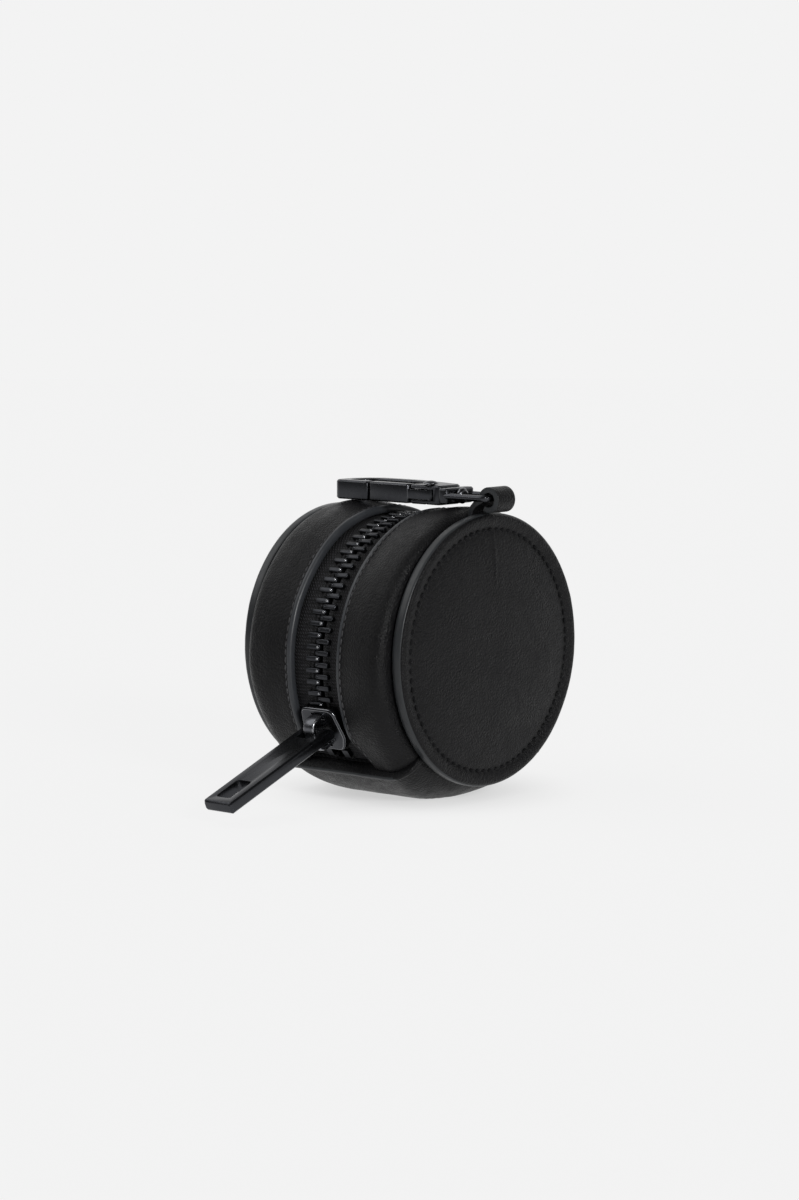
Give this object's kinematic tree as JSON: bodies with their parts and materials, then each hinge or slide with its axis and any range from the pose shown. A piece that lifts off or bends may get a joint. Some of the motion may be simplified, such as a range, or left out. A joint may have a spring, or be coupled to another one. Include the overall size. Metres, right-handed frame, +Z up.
{
  "type": "coin purse",
  "caption": "Drum-shaped faux-leather coin purse that unzips round its middle, with a long metal pull tab and a swivel snap hook hung from a leather loop.",
  "frame": {"origin": "middle of the flat patch under the base gusset on which the purse lies", "axes": "+Z up, X along the drum towards the end panel that carries the loop, -Y the front with the zip slider"},
  "size_m": [0.0599, 0.1112, 0.0814],
  "materials": {
    "leather": "matte black, fine grain",
    "lining": "black twill",
    "board": "grey fibre board",
    "wadding": "dark felt",
    "zip_tape": "black woven tape",
    "hardware": "black plated zinc, satin",
    "spring": "bare spring steel"
  },
  "bodies": {
    "drum": {"end_panel_right": "leather", "end_pad_right": "wadding", "end_board_right": "board", "end_lining_right": "lining", "zip_gusset_right": "leather", "gusset_lining_right": "lining", "zip_tape_right": "zip_tape", "zip_chain_right": "hardware", "top_stop_right": "hardware", "bottom_stop": "hardware", "base_gusset": "leather", "base_lining": "lining", "loop_tab": "leather"},
    "left_half": {"end_panel_left": "leather", "end_pad_left": "wadding", "end_board_left": "board", "end_lining_left": "lining", "zip_gusset_left": "leather", "gusset_lining_left": "lining", "zip_tape_left": "zip_tape", "zip_chain_left": "hardware", "top_stop_left": "hardware"},
    "slider": {"slider_body": "hardware", "slider_bridge": "hardware"},
    "pull": {"pull_tab": "hardware"},
    "eye": {"clip_eye": "hardware"},
    "hook": {"hook_body": "hardware", "swivel_post": "hardware", "gate_rivet": "hardware", "gate_spring": "spring"},
    "gate": {"hook_gate": "hardware"}
  },
  "joints": [
    {"name": "slider_travel", "type": "hinge", "parent": "drum", "child": "slider", "pos_m": [0, 0, 0.0362], "axis": [-1, 0, 0], "range_deg": [0, 218], "deforming": ["zip_tape_right", "zip_tape_left", "zip_chain_right", "zip_chain_left"]},
    {"name": "pull_swing", "type": "hinge", "parent": "slider", "child": "pull", "pos_m": [0, -0.03624, 0.01892], "axis": [-1, 0, 0], "range_deg": [-50, 80]},
    {"name": "mouth_open", "type": "hinge", "parent": "drum", "child": "left_half", "pos_m": [-0.0252, 0, 0], "axis": [0, -1, 0], "range_deg": [0, 23]},
    {"name": "clip_swing", "type": "hinge", "parent": "drum", "child": "eye", "pos_m": [0.0286, 0, 0.0778], "axis": [0, 1, 0], "range_deg": [0, 220]},
    {"name": "hook_swivel", "type": "hinge", "parent": "eye", "child": "hook", "pos_m": [0.0133, 0, 0.0778], "axis": [1, 0, 0], "range_deg": [0, 181]},
    {"name": "gate_open", "type": "hinge", "parent": "hook", "child": "gate", "pos_m": [0.0091, -0.0029, 0.0778], "axis": [0, 0, -1], "range_deg": [0, 18], "stiffness_Nm_per_rad": 0.03, "springref_deg": -8.59, "deforming": ["gate_spring"]}
  ],
  "couplings": [
    {"joint": "mouth_open", "follows": "slider_travel", "ratio": 0.10092},
    {"joint": "clip_swing", "follows": "slider_travel", "ratio": 1},
    {"joint": "hook_swivel", "follows": "slider_travel", "ratio": 0.82569}
  ]
}
